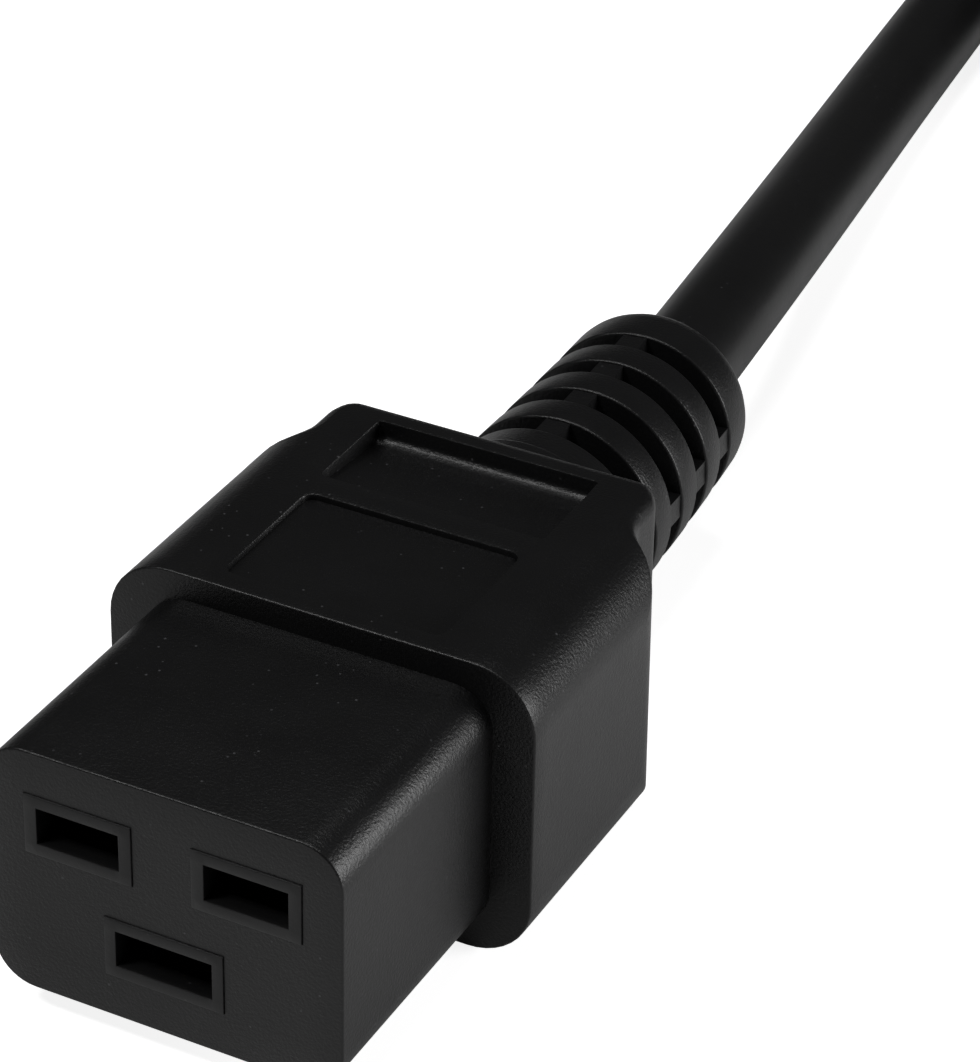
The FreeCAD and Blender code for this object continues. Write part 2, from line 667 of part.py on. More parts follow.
# ---------------------------------------------------------------- the two ends, each in its own frame
def make_connector():
    blank = connector_blank()
    relief = strain_relief("relief", leaning_station)
    carrier_body = carrier_blank()
    rear = size("carrier_front") + size("carrier_length")
    filler_body = filler_blank("filler_blank", "( carrier_front + carrier_length )")
    ways = core_ways(connector_end, "core_way")
    solid = fused("connector_solid", [blank] + relief)
    bore = cord_way("cord_bore", relief_route[:3])
    moulding = cut_away("connector_moulding", solid, [carrier_body, filler_body, bore] + ways)
    carrier = contact_carrier(carrier_body)
    pockets = crimp_pockets(connector_end, "crimp_pocket", rear - 0.5)
    filler = cut_away("connector_filler", filler_body, pockets + ways)
    pieces = [moulding, carrier, filler]
    for name in poles:
        pieces.append(female_contact(connector_end, name))
        pieces.append(pole_conductor(connector_end, name))
        pieces.append(pole_core(connector_end, name))
    return pieces


def plug_blank():
    """The plug's outer form with its open front, before the inner pieces are taken out."""
    body = new_body("plug_blank")
    block(body, "shell", "plug_width", "plug_height", "0", "plug_length")
    rounded(body, "shell_corners", lambda edge: runs_along(edge, Y_AXIS), "plug_radius")
    shoulder_cut(body, "plug_shoulder")
    body_details(body, "plug_height", size("plug_length"))
    block(body, "cavity", "plug_cavity_width", "plug_cavity_height", "( 0 - 1 )",
          "( plug_cavity_depth + 1 )", cut=True)

    def cavity_corner(edge):
        middle = edge.CenterOfMass
        inside = abs(abs(middle.x) - size("plug_cavity_width") / 2) < 1e-6
        return runs_along(edge, Y_AXIS) and inside

    rounded(body, "cavity_corners", cavity_corner, "plug_cavity_radius")
    return body


def pin_insert():
    """The plate at the bottom of the plug's cavity that holds the three pins."""
    body = new_body("pin_insert_blank")
    block(body, "plate", "carrier_width", "carrier_depth", "plug_cavity_depth", "carrier_length")
    tools = new_body("pin_slots")
    slots_through(tools, "pin_slot", {"pole": "pole_pin", "earth": "earth_pin"}, "pin_thickness",
                  "( plug_cavity_depth - 1 )", "( carrier_length + 2 )", False)
    return body, cut_away("plug_insert", body, [tools])


def make_plug():
    blank = plug_blank()
    relief = strain_relief("plug_relief", straight_station)
    insert_body, insert = pin_insert()
    rear = size("plug_cavity_depth") + size("carrier_length")
    filler_body = filler_blank("plug_filler_blank", "( plug_cavity_depth + carrier_length )")
    ways = core_ways(plug_end, "plug_core_way")
    solid = fused("plug_solid", [blank] + relief)
    straight = [Vector(0, size("sheath_end"), 0), Vector(0, size("relief_end") + 5, 0)]
    bore = cord_way("plug_cord_bore", straight)
    moulding = cut_away("plug_moulding", solid, [insert_body, filler_body, bore] + ways)
    pockets = crimp_pockets(plug_end, "plug_crimp_pocket", rear - 0.5)
    filler = cut_away("plug_filler", filler_body, pockets + ways)
    pieces = [moulding, insert, filler]
    for name in poles:
        pieces.append(blade_pin(plug_end, name))
        pieces.append(pole_conductor(plug_end, name))
        pieces.append(pole_core(plug_end, name))
    return pieces


# ---------------------------------------------------------------- the cord, its coil and the tie
def cord_run():
    shape, length, radii = rod(cord_route, cord_radius)
    print(f"cord run {length:.1f} mm, arc radii", [round(radius) for radius in radii])
    return shape_object("cord_run", shape)


def cord_tail():
    """From the coil's upper outer turn straight into the plug."""
    start = Vector(plug_place.x, coil_centre.y, upper_layer)
    end = Vector(plug_place.x, plug_place.y + size("sheath_end"), upper_layer)
    shape, length, _ = rod([start, end], cord_radius)
    print(f"cord tail {length:.1f} mm")
    return shape_object("cord_tail", shape)


def cord_coil():
    """The outer shape of the coil: a ring with softened rims, ways for both ends of the cord where
    they run up against it, and a notch below for the tie."""
    inner, outer = coil_inner_turn - cord_radius, coil_outer_turn + cord_radius
    height = 2 * size("cord_diameter")
    ring = Part.makeCylinder(outer, height, coil_centre).cut(Part.makeCylinder(inner, height, coil_centre))
    rims = [edge for edge in ring.Edges if edge.Closed]
    ring = ring.makeChamfer(size("coil_rim_bevel"), rims)
    reach = size("coil_way_length")
    ways = []
    for side, level in ((-1, lower_layer), (1, upper_layer)):
        start = Vector(coil_centre.x + side * coil_outer_turn, coil_centre.y - reach, level)
        ways.append(Part.makeCylinder(cord_radius + size("coil_gap"), reach, start, Y_AXIS))
    middle = (inner + outer) / 2
    notch_depth = size("tie_thickness") + size("cord_gap")
    notch_width = size("tie_width") + 2 * size("tie_notch_gap")
    notch = Part.makeBox(notch_width, outer - inner + 10, notch_depth)
    notch.translate(coil_centre + Vector(-notch_width / 2, middle - (outer - inner) / 2 - 5, 0))
    return shape_object("cord_coil", ring.cut(ways + [notch]))


def coil_tie():
    """A strap in a closed loop round the turns."""
    inner, outer = coil_inner_turn - cord_radius, coil_outer_turn + cord_radius
    thick, width, gap = size("tie_thickness"), size("tie_width"), 2 * size("cord_gap")
    near = math.sqrt(inner ** 2 - (width / 2) ** 2) - gap
    depth, height = outer + gap - near, 2 * size("cord_diameter") + gap
    corner = coil_centre + Vector(-width / 2, near, thick)
    hole = Part.makeBox(width, depth, height - gap / 2, corner)
    loop_height = height + 2 * thick - gap / 2
    loop = Part.makeBox(width, depth + 2 * thick, loop_height, corner - Vector(0, thick, thick))
    corners = [edge for edge in loop.Edges if runs_along(edge, X_AXIS)]
    return shape_object("coil_tie", loop.makeFillet(size("tie_corner"), corners).cut(hole))


connector_pieces = make_connector()
plug_pieces = make_plug()
doc.recompute()
moved(connector_place, connector_pieces)
moved(plug_place, plug_pieces)
pieces = connector_pieces + plug_pieces + [cord_run(), cord_coil(), cord_tail(), coil_tie()]
doc.recompute()

for item in doc.Objects:
    if "Invalid" in item.State or "Error" in item.State:
        raise ValueError(f"{item.Name} could not be made: {item.State}")
for piece in pieces:
    if piece.Shape.isNull() or not piece.Shape.isValid() or len(piece.Shape.Solids) != 1:
        raise ValueError(f"{piece.Label} is not one valid solid")

os.makedirs("parts", exist_ok=True)
for piece in pieces:
    piece.Shape.exportStep(f"parts/{piece.Label}.step")
    box = piece.Shape.BoundBox
    print(f"{piece.Label}: {piece.Shape.Volume:.1f} mm3, x {box.XMin:.2f} to {box.XMax:.2f}, "
          f"y {box.YMin:.2f} to {box.YMax:.2f}, z {box.ZMin:.2f} to {box.ZMax:.2f}")
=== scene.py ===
import json
import math

import bmesh
import bpy
from mathutils import Matrix, Vector


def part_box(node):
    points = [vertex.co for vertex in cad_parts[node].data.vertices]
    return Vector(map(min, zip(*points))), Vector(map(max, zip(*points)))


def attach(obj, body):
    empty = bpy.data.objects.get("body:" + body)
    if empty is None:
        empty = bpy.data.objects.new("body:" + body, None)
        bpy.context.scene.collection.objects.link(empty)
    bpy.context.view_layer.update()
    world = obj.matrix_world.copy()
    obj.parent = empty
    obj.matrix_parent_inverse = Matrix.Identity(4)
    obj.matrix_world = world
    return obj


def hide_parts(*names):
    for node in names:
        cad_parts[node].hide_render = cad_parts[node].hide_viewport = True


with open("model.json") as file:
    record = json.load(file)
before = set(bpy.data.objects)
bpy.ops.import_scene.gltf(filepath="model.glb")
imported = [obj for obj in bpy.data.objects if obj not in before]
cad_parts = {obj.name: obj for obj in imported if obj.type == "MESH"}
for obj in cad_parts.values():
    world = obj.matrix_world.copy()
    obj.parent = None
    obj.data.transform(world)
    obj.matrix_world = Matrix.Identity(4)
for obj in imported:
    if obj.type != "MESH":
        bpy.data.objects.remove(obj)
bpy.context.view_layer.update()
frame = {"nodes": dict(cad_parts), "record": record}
mm = 0.001
print("frame loaded")

camera = {
    "place": (0.1163, -0.22347, 0.17734),
    "right": (0.88687, 0.46164, 0.01897),
    "up": (-0.25844, 0.46163, 0.84859),
    "lens": 137.84,
    "sensor": 36,
    "clip": (0.01, 20),
}


def makeCamera():
    data = bpy.data.cameras.new("camera")
    data.lens = camera["lens"]
    data.sensor_width = camera["sensor"]
    data.clip_start, data.clip_end = camera["clip"]
    cam = bpy.data.objects.new("camera", data)
    right = Vector(camera["right"]).normalized()
    up = Vector(camera["up"])
    up = (up - right * up.dot(right)).normalized()
    turn = Matrix((right, up, right.cross(up))).transposed().to_4x4()
    cam.matrix_world = Matrix.Translation(camera["place"]) @ turn
    bpy.context.scene.collection.objects.link(cam)
    bpy.context.scene.camera = cam


makeCamera()
print("camera set")

cord = {
    "diameter": 8.7 * mm,
    "route": [  # from inside the strain relief, down to the table, to the left edge of the coil
        (0, 10.2, 12.05), (0, 26.1, 12.05), (-3, 56.8, 11.3), (-8, 88.8, 7.6),
        (-12.6, 119.8, 4.75), (-16, 156.5, 4.35),
    ],
    "coilCentre": (38.5, 192.0),
    "innerTurn": 37.1,
    "layers": (4.35, 13.05),
    "stepsPerTurn": 24,
    "sweep": 1980,  # five and a half turns; this and the next stretches are in degrees of turning
    "inwards": [(240, 360), (600, 720)],
    "climb": (980, 1065),
    "outwards": [(1220, 1340), (1580, 1700)],
    "tieAngle": 90,
    "tieReach": (12, 40),
    "tieLift": 1.0,  # millimetres
    "tail": [(93, 176, 13.05), (93, 148, 13.05), (93, 120.2, 13.05)],
    "exit": (-0.0008, 0.0395, 0.0119),  # where it leaves the strain relief, in metres
    "length": 1.83,  # metres
    "around": 10, "along": 8,  # steps of the round section and between points
}


def ease(value, start, end):
    part = min(max((value - start) / (end - start), 0), 1)
    return part * part * (3 - 2 * part)


def turnRadius(swept):
    # the turns step inwards on the table, then outwards on top of them
    places = len(cord["inwards"])
    places -= sum(ease(swept, *stretch) for stretch in cord["inwards"])
    places += sum(ease(swept, *stretch) for stretch in cord["outwards"])
    return cord["innerTurn"] + cord["diameter"] / mm * places


def turnHeight(swept):
    low, high = cord["layers"]
    angle = (180 - swept) % 360
    off = abs((angle - cord["tieAngle"] + 180) % 360 - 180)
    lift = cord["tieLift"] * (1 - ease(off, *cord["tieReach"]))  # the tie runs under the turns here
    return low + (high - low) * ease(swept, *cord["climb"]) + lift


def coilPoints():
    step = 360 / cord["stepsPerTurn"]
    spread = 1 / math.cos(math.radians(step / 2))
    cx, cy = cord["coilCentre"]
    points = []
    swept = step / 2
    while swept < cord["sweep"]:
        angle = math.radians(180 - swept)
        radius = turnRadius(swept) * spread
        points.append((cx + radius * math.cos(angle), cy + radius * math.sin(angle), turnHeight(swept)))
        swept += step
    return points


def makeCord():
    points = cord["route"] + coilPoints() + cord["tail"]
    data = bpy.data.curves.new("cord", "CURVE")
    data.dimensions = "3D"
    data.bevel_depth = 1  # times each point's radius, which is the cord's
    data.bevel_resolution = cord["around"]
    data.resolution_u = cord["along"]
    data.use_fill_caps = True
    spline = data.splines.new("NURBS")
    spline.points.add(len(points) - 1)
    for slot, point in zip(spline.points, points):
        slot.co = (*(Vector(point) * mm), 1)
        slot.radius = cord["diameter"] / 2
    spline.order_u = 3
    spline.use_endpoint_u = True
    piece = bpy.data.objects.new("cord", data)
    bpy.context.scene.collection.objects.link(piece)
    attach(piece, "root")
    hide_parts("cord_run", "cord_coil", "cord_tail")
    return piece


cordPiece = makeCord()
print("cord laid")


class Shade:  # a socket with arithmetic
    def __init__(self, graph, socket):
        self.graph = graph
        self.socket = socket

    def math(self, operation, *values):
        return self.graph.node("ShaderNodeMath", {"operation": operation}, dict(enumerate(values)))

    def __add__(self, other):
        return self.math("ADD", self, other)

    def __radd__(self, other):
        return self.math("ADD", other, self)

    def __sub__(self, other):
        return self.math("SUBTRACT", self, other)

    def __rsub__(self, other):
        return self.math("SUBTRACT", other, self)

    def __mul__(self, other):
        return self.math("MULTIPLY", self, other)

    def __rmul__(self, other):
        return self.math("MULTIPLY", other, self)

    def __gt__(self, other):
        return self.math("GREATER_THAN", self, other)

    def between(self, low, high):
        inputs = {"Value": self, "From Min": low, "From Max": high}
        return self.graph.node("ShaderNodeMapRange", {"interpolation_type": "SMOOTHSTEP"}, inputs)

    def part(self, name):
        return Shade(self.graph, self.socket.node.outputs[name])


class Graph:  # a new material's nodes, or those of a tree that is there
    def __init__(self, name, tree=None):
        if tree is None:
            self.material = bpy.data.materials.new(name)
            self.material.use_nodes = True
            tree = self.material.node_tree
            self.shader = tree.nodes["Principled BSDF"]
        self.tree = tree

    def node(self, kind, settings=None, inputs=None, output=0):
        made = self.tree.nodes.new(kind)
        for key, value in (settings or {}).items():
            setattr(made, key, value)
        for key, value in (inputs or {}).items():
            self.feed(made.inputs[key], value)
        return Shade(self, made.outputs[output])

    def feed(self, socket, value):
        if isinstance(value, Shade):
            self.tree.links.new(value.socket, socket)
        else:
            socket.default_value = value

    def set(self, **values):
        for key, value in values.items():
            self.feed(self.shader.inputs[key.replace("_", " ")], value)

    def place(self):
        return self.node("ShaderNodeTexCoord", output="Object")

    def noise(self, scale, detail=2.0, roughness=0.5, at=None):
        inputs = {"Vector": at or self.place(), "Scale": scale, "Detail": detail, "Roughness": roughness}
        return self.node("ShaderNodeTexNoise", {}, inputs)

    def mix(self, factor, low, high):
        return self.node("ShaderNodeMix", {"data_type": "RGBA"}, {0: factor, 6: low, 7: high}, 2)

    def bump(self, height, strength, distance):
        inputs = {"Height": height, "Strength": strength, "Distance": distance}
        return self.node("ShaderNodeBump", {}, inputs)


# Noise scales are per metre: mottle, light specks that are partly dust and partly painted glints, the patches
# where these specks gather, and insulation.
scales = {"cloud": 180, "specks": 900, "patches": 150, "insulation": 900, "tarnish": 400,
          "drawn": (3000, 60, 3000)}
# size of the light specks and the range of their patches; the specks are partly dust and partly painted
# glints
dustAndGlintSpots = {"size": (0.05, 0.11), "patches": (0.48, 0.62)}
coolness = 1.06  # blue over red and green in the black plastics
specularLevel = 0.32
# Dark and light are the two ends of a soft mottle; grain is the surface's fine texture; dust is how strongly
# light specks brighten the colour, partly dust and partly painted glints.
plastic = {
    "moulding": {"dark": 0.0022, "light": 0.0048, "rough": (0.30, 0.42), "grain": 4200, "depth": 0.00008,
                 "strength": 0.6, "dustAndGlints": 0.05},
    "carrier": {"dark": 0.0022, "light": 0.0042, "rough": (0.32, 0.44), "grain": 2600, "depth": 0.00005,
                "strength": 0.3, "dustAndGlints": 0.02},
    "filler": {"dark": 0.02, "light": 0.03, "rough": (0.5, 0.6), "grain": 900, "depth": 0.00005,
               "strength": 0.3, "dustAndGlints": 0.0},
    "cord_sheath": {"dark": 0.0025, "light": 0.0048, "rough": (0.36, 0.46), "grain": 1500, "depth": 0.00004,
                    "strength": 0.25, "dustAndGlints": 0.03},
    "tie_fabric": {"dark": 0.008, "light": 0.03, "rough": (0.8, 0.95), "grain": 3000, "depth": 0.0003,
                   "strength": 0.8, "dustAndGlints": 0.0},
}
insulation = {
    "line_insulation": ((0.13, 0.045, 0.018), (0.18, 0.065, 0.03)),
    "neutral_insulation": ((0.03, 0.13, 0.36), (0.05, 0.17, 0.44)),
    "earth_insulation": ((0.04, 0.22, 0.05), (0.55, 0.42, 0.03)),
}
stripe = {"half": 0.0009, "apart": 0.093}  # half its width, and how far the two ends' earth cores lie apart
metals = {
    "contact_brass": {"dark": (0.50, 0.42, 0.26), "light": (0.66, 0.58, 0.40), "rough": (0.28, 0.42)},
    "pin_brass": {"dark": (0.58, 0.56, 0.50), "light": (0.72, 0.70, 0.65), "rough": (0.18, 0.30)},
    "copper": {"dark": (0.48, 0.22, 0.13), "light": (0.66, 0.34, 0.22), "rough": (0.30, 0.45)},
}


def makePlastic(name):
    look = plastic[name]
    graph = Graph(name)
    cloud = graph.noise(scales["cloud"], 3)
    grain = graph.noise(look["grain"], 3, 0.6)
    specks = graph.node("ShaderNodeTexVoronoi", {}, {"Vector": graph.place(), "Scale": scales["specks"]})
    patches = graph.noise(scales["patches"]).between(*dustAndGlintSpots["patches"])
    # light specks added to the colour: partly dust, partly painted glints
    dustAndGlints = (1 - specks.between(*dustAndGlintSpots["size"])) * patches * look["dustAndGlints"]
    shade = look["dark"] + (look["light"] - look["dark"]) * (0.4 * cloud + 0.6 * grain) + dustAndGlints
    colour = graph.node("ShaderNodeCombineColor", {}, {0: shade, 1: shade, 2: shade * coolness})
    low, high = look["rough"]
    graph.set(Base_Color=colour, Roughness=low + (high - low) * cloud, Specular_IOR_Level=specularLevel,
              Normal=graph.bump(grain, look["strength"], look["depth"]))
    return graph.material


def makeInsulation(name):
    graph = Graph(name)
    low, high = [(*colour, 1) for colour in insulation[name]]
    grain = graph.noise(scales["insulation"])
    share = grain
    if name == "earth_insulation":  # a stripe down the middle of each end's core
        across = graph.node("ShaderNodeSeparateXYZ", {}, {0: graph.place()})
        across = across.math("WRAP", across, stripe["apart"] / 2, -stripe["apart"] / 2)
        share = 0.8 * (across.math("ABSOLUTE", across) > stripe["half"]) + 0.2 * grain
    graph.set(Base_Color=graph.mix(share, low, high), Roughness=0.34 + 0.1 * grain,
              Normal=graph.bump(grain, 0.2, 0.00003))
    return graph.material


def makeMetal(name):
    look = metals[name]
    graph = Graph(name)
    cloud = graph.noise(scales["tarnish"], 3)
    drawn = graph.node("ShaderNodeMapping", {}, {"Vector": graph.place(), "Scale": scales["drawn"]})
    lines = graph.noise(1, at=drawn)
    low, high = look["rough"]
    graph.set(Base_Color=graph.mix(cloud, (*look["dark"], 1), (*look["light"], 1)), Metallic=1.0,
              Roughness=low + (high - low) * lines, Normal=graph.bump(lines, 0.2, 0.00001))
    return graph.material


finishes = {name: makePlastic(name) for name in plastic}
finishes.update({name: makeInsulation(name) for name in insulation})
finishes.update({name: makeMetal(name) for name in metals})
for entry in frame["record"]["subparts"]:
    node = frame["nodes"][entry["node"]]
    node.data.materials.clear()
    node.data.materials.append(finishes[entry["material_slot"]])
cordPiece.data.materials.append(finishes["cord_sheath"])
print("materials made")

# Each end is made in millimetres: mating face at y 0, cord towards +y, its axis at x 0, z 0.
# Shoulders run in from start to end, down to the grip's half width; lean is their slant with height.
grip = {"start": 38.6, "end": 44.6, "half": 13.6, "corner": 2.6, "rim": 1.2, "lean": 0.03}
steps = {"round": 10, "rim": 4, "shoulder": 16, "corner": 8, "edge": 3, "line": 24}
sliver = 0.02  # keeps points of an outline apart where they would fall together
near = 0.01  # a face or an edge counts as lying at a height within this
facing = 0.9  # how nearly a face has to look a given way
crease = 0.4  # radians, from which an edge is one to round
smooth = 32  # degrees, up to which an edge is shaded smooth
sides = (-1, 1)


def mirrored(quarter):
    right = quarter + [(x, -z) for x, z in reversed(quarter)]
    return right + [(-x, z) for x, z in reversed(right)]


def outline(form, limit, inset=0.0):
    # a rounded rectangle, inset all round, with sides cut back to a half width and softened there
    rim = max(grip["rim"] - inset, sliver)
    radius, count = form["radius"] - inset, steps["round"]
    cx, cz = form["half"] - form["radius"], form["top"] - form["radius"]
    reach = limit - rim - cx
    if reach > 0:
        rise = math.sqrt(max((radius - rim) ** 2 - reach ** 2, 0))
        turn = math.atan2(reach, rise)
        angles = [turn * i / count for i in range(count + 1)]
        points = [(cx + radius * math.sin(a), cz + radius * math.cos(a)) for a in angles]
    else:
        rise, turn = radius - rim, 0
        points = [(limit - rim - sliver * (count - i), cz + radius) for i in range(count + 1)]
    for i in range(1, steps["rim"] + 1):
        angle = turn + (math.pi / 2 - turn) * i / steps["rim"]
        points.append((cx + reach + rim * math.sin(angle), cz + rise + rim * math.cos(angle) - sliver * i))
    return mirrored(points)


def shoulderLimit(y, half):
    # half width in the S-curve from the full width in to the grip
    start, end, narrow = grip["start"], grip["end"], grip["half"]
    step = half - narrow
    radius = (step ** 2 + (end - start) ** 2) / (4 * step)
    if y < (start + end) / 2:
        return half - radius + math.sqrt(radius ** 2 - (y - start) ** 2)
    return narrow + radius - math.sqrt(radius ** 2 - (end - y) ** 2)


def station(y, points, lean=0.0):
    return [(x, y - lean * z, z) for x, z in points]


def edgeStations(form, y, size):
    # a rounded edge at a face that looks towards -y
    rows = []
    for i in range(steps["edge"] + 1):
        angle = math.pi / 2 * i / steps["edge"]
        inset = size * (1 - math.sin(angle))
        rows.append(station(y + size * (1 - math.cos(angle)), outline(form, form["half"] - inset, inset)))
    return rows


def gripStations(form, rear):
    # the shoulders, then the grip with its rounded rear corners and rims
    half, start, end = form["half"], grip["start"], grip["end"]
    rows = []
    for i in range(steps["shoulder"] + 1):
        y = start + (end - start) * i / steps["shoulder"]
        rows.append(station(y, outline(form, shoulderLimit(y, half)), grip["lean"]))
    corner, rim = grip["corner"], grip["rim"]
    for i in range(steps["corner"] + 1):
        angle = math.pi / 2 * i / steps["corner"]
        y = rear - corner * (1 - math.sin(angle))
        deep = min(max(y - (rear - rim), 0), rim)
        inset = rim - math.sqrt(rim ** 2 - deep ** 2)
        rows.append(station(y, outline(form, grip["half"] - corner * (1 - math.cos(angle)), inset)))
    return rows


def loft(mesh, sections):
    # a closed skin: one outline's face is pushed on to the next, and the first one is closed again
    first = [mesh.verts.new(point) for point in sections[0]]
    cap = mesh.faces.new(first)
    for section in sections[1:]:
        cap = push(mesh, [cap])[0]
        for vert, point in zip(cap.verts, section):
            vert.co = point
    mesh.faces.new(first)
    bmesh.ops.recalc_face_normals(mesh, faces=mesh.faces)


def sliceAt(mesh, axis, places, faces=None):
    # cuts across an axis, so that later steps find edges there
    normal = Vector([i == axis for i in range(3)])
    for place in sorted(places):
        geom = mesh.verts[:] + mesh.edges[:] + mesh.faces[:]
        if faces is not None:
            geom = list({part for face in faces for part in (face, *face.edges, *face.verts)})
        cut = bmesh.ops.bisect_plane(mesh, geom=geom, dist=1e-5, plane_co=normal * place, plane_no=normal)
        if faces is not None:
            faces = [part for part in cut["geom"] if isinstance(part, bmesh.types.BMFace)]
    return faces


def within(point, low, high):
    return all(low[i] < point[i] < high[i] for i in range(3))


def facesIn(mesh, normal, low, high):
    mesh.normal_update()
    return [face for face in mesh.faces if face.normal.dot(Vector(normal)) > facing
            and within(face.calc_center_median(), low, high)]


def edgesIn(mesh, low, high, rise=0):
    # sharp edges inside a box, whose two ends differ in height by at least a rise
    mesh.normal_update()
    return [edge for edge in mesh.edges if all(within(v.co, low, high) for v in edge.verts)
            and edge.calc_face_angle(0) > crease and abs(edge.verts[0].co.z - edge.verts[1].co.z) >= rise]


def push(mesh, faces, move=(0, 0, 0), grow=None):
    # extrudes a patch of faces and gives back the moved patch
    made = bmesh.ops.extrude_face_region(mesh, geom=faces)
    stale = [face for face in faces if face.is_valid]
    if stale:
        bmesh.ops.delete(mesh, geom=stale, context="FACES")
    moved = [part for part in made["geom"] if isinstance(part, bmesh.types.BMFace)]
    verts = list({vert for face in moved for vert in face.verts})
    bmesh.ops.translate(mesh, vec=move, verts=verts)
    if grow:
        centre = sum((vert.co for vert in verts), Vector()) / len(verts)
        bmesh.ops.scale(mesh, vec=grow, verts=verts, space=Matrix.Translation(-centre))
    return moved


def rounded(mesh, edges, size, count):
    made = bmesh.ops.bevel(mesh, geom=edges, offset=size, offset_type="OFFSET", affect="EDGES",
                           segments=count, profile=0.5, material=-1, clamp_overlap=True)
    return made["verts"]


def joined(meshes):
    whole = bmesh.new()
    for mesh in meshes:
        data = bpy.data.meshes.new("skin")
        mesh.to_mesh(data)
        mesh.free()
        whole.from_mesh(data)
        bpy.data.meshes.remove(data)
    return whole


def finishPiece(name, mesh, place, node, finish):
    # moves a mesh made in millimetres to its place, smooth between its sharp edges
    bmesh.ops.translate(mesh, vec=place, verts=mesh.verts)
    bmesh.ops.scale(mesh, vec=(mm, mm, mm), verts=mesh.verts)
    bmesh.ops.recalc_face_normals(mesh, faces=mesh.faces)
    for face in mesh.faces:
        face.smooth = True
    for edge in mesh.edges:
        edge.smooth = len(edge.link_faces) == 2 and edge.calc_face_angle(0) < math.radians(smooth)
    data = bpy.data.meshes.new(name)
    mesh.to_mesh(data)
    mesh.free()
    piece = bpy.data.objects.new(name, data)
    bpy.context.scene.collection.objects.link(piece)
    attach(piece, "root")
    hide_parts(node)
    data.materials.append(finishes[finish])
    return piece


relief = {
    "collar": (9.2, 44.6, 53.2),  # radius, start, end
    "collarEdges": (0.1, 0.3),
    "radius": 8.6, "taper": 0.03, "first": 56.4, "slot": 2.05, "slots": 4, "pitch": 5.3, "end": 80.0,
    "frontEdge": 0.2, "edge": 0.4, "endEdge": 2.2, "rib": 2.0, "ribInset": 0.3,
    "overlap": 1,  # how far ribs and collar reach into what carries them
    "around": 96, "small": 3, "large": 6,  # steps round a ring, on a small edge and on the end's
}


def ringRadius(distance):
    return relief["radius"] - relief["taper"] * (distance - relief["first"])


def reliefStation(points, distance):
    # place and turn of a section that far behind the mating face; the first point is at its own y
    along = distance - points[0].y
    for before, after in zip(points, points[1:]):
        heading = after - before
        if along <= heading.length or after == points[-1]:
            turn = Vector((0, 0, 1)).rotation_difference(heading).to_matrix().to_4x4()
            return Matrix.Translation(before + heading.normalized() * along) @ turn
        along -= heading.length


def disc(mesh, radii, low, high, edges, at):
    # one ring: a short cone with both rims rounded
    verts = set(bmesh.ops.create_cone(mesh, cap_ends=True, segments=relief["around"], radius1=radii[0],
                                      radius2=radii[1], depth=high - low)["verts"])
    for side, edge in zip(sides, edges):
        rim = {e for v in verts if v.co.z * side > 0 for e in v.link_edges
               if all(w in verts and w.co.z * side > 0 for w in e.verts)}
        fresh = rounded(mesh, list(rim), edge, relief["large" if edge == relief["endEdge"] else "small"])
        verts = {v for v in verts if v.is_valid} | set(fresh)
    bmesh.ops.transform(mesh, matrix=at @ Matrix.Translation((0, 0, (high - low) / 2)), verts=list(verts))


def bar(mesh, size, at):
    # two opposite ribs, as one bar through the cord's axis
    verts = bmesh.ops.create_cube(mesh, size=1)["verts"]
    bmesh.ops.scale(mesh, vec=size, verts=verts)
    bmesh.ops.transform(mesh, matrix=at @ Matrix.Translation((0, 0, size[2] / 2)), verts=verts)


def makeRelief(points):
    mesh = bmesh.new()
    radius, start, end = relief["collar"]
    disc(mesh, (radius, radius), start, end, relief["collarEdges"], reliefStation(points, start))
    gaps = [relief["first"] + i * relief["pitch"] for i in range(relief["slots"])]
    lows = [start] + [gap + relief["slot"] for gap in gaps]
    highs = gaps + [relief["end"]]
    for low, high in zip(lows, highs):
        rear = relief["endEdge" if high == relief["end"] else "edge"]
        radii = (ringRadius(max(low, end)), ringRadius(high))
        disc(mesh, radii, low, high, (relief["frontEdge"], rear), reliefStation(points, low))
    rib, overlap = relief["rib"], relief["overlap"]
    for gap in gaps:
        reach = 2 * (ringRadius(gap) - relief["ribInset"])
        for width, height in ((rib, reach), (reach, rib)):
            bar(mesh, (width, height, relief["slot"] + 2 * overlap), reliefStation(points, gap - overlap))
    return mesh


connector = {
    "nose": {"half": 13.75, "top": 9.95, "radius": 3.2},
    "flange": 20.9,
    "block": {"half": 17.0, "top": 12.05, "radius": 5.0},
    "rear": 48.6,
    "edge": 0.16,
    "overlap": 2,  # how far the nose reaches into the block
    "panel": {"half": 8.7, "front": 22.8, "rear": 34.8, "depth": 0.5, "corner": 0.9},
    "thumb": {"half": 9.1, "front": 37.4, "rear": 46.3, "depth": 1.7, "corner": 1.0,
              # depth at the front, where the floor starts to curve up, and depth where it ends
              "shallow": 0.8, "foot": 45.5, "wall": 0.95, "curve": (0, 20, 40, 58, 72),
              "flat": 0.2},  # a cut this far before the foot keeps the floor flat in the light
    "recessEdge": 0.18,
}
carrier = {
    # middle, width of the sleeve's outside, of its mouth and of the cavity behind it
    "sleeves": [
        {"x": -6.5, "z": 4.1, "outside": 8.4, "mouth": 6.4, "cavity": 7.1},
        {"x": 6.5, "z": 4.1, "outside": 8.4, "mouth": 6.4, "cavity": 7.1},
        {"x": 0, "z": -4.0, "outside": 9.3, "mouth": 7.5, "cavity": 8.2},
    ],
    "heights": {"outside": 4.8, "mouth": 2.9, "cavity": 3.8},
    "proud": 0.15, "seam": 0.04, "lip": 1.4, "step": 0.01, "depth": 18.2,
    "plate": (23.6, 15.6), "front": 14.0, "rear": 19.5,
    "edge": 0.1,
}
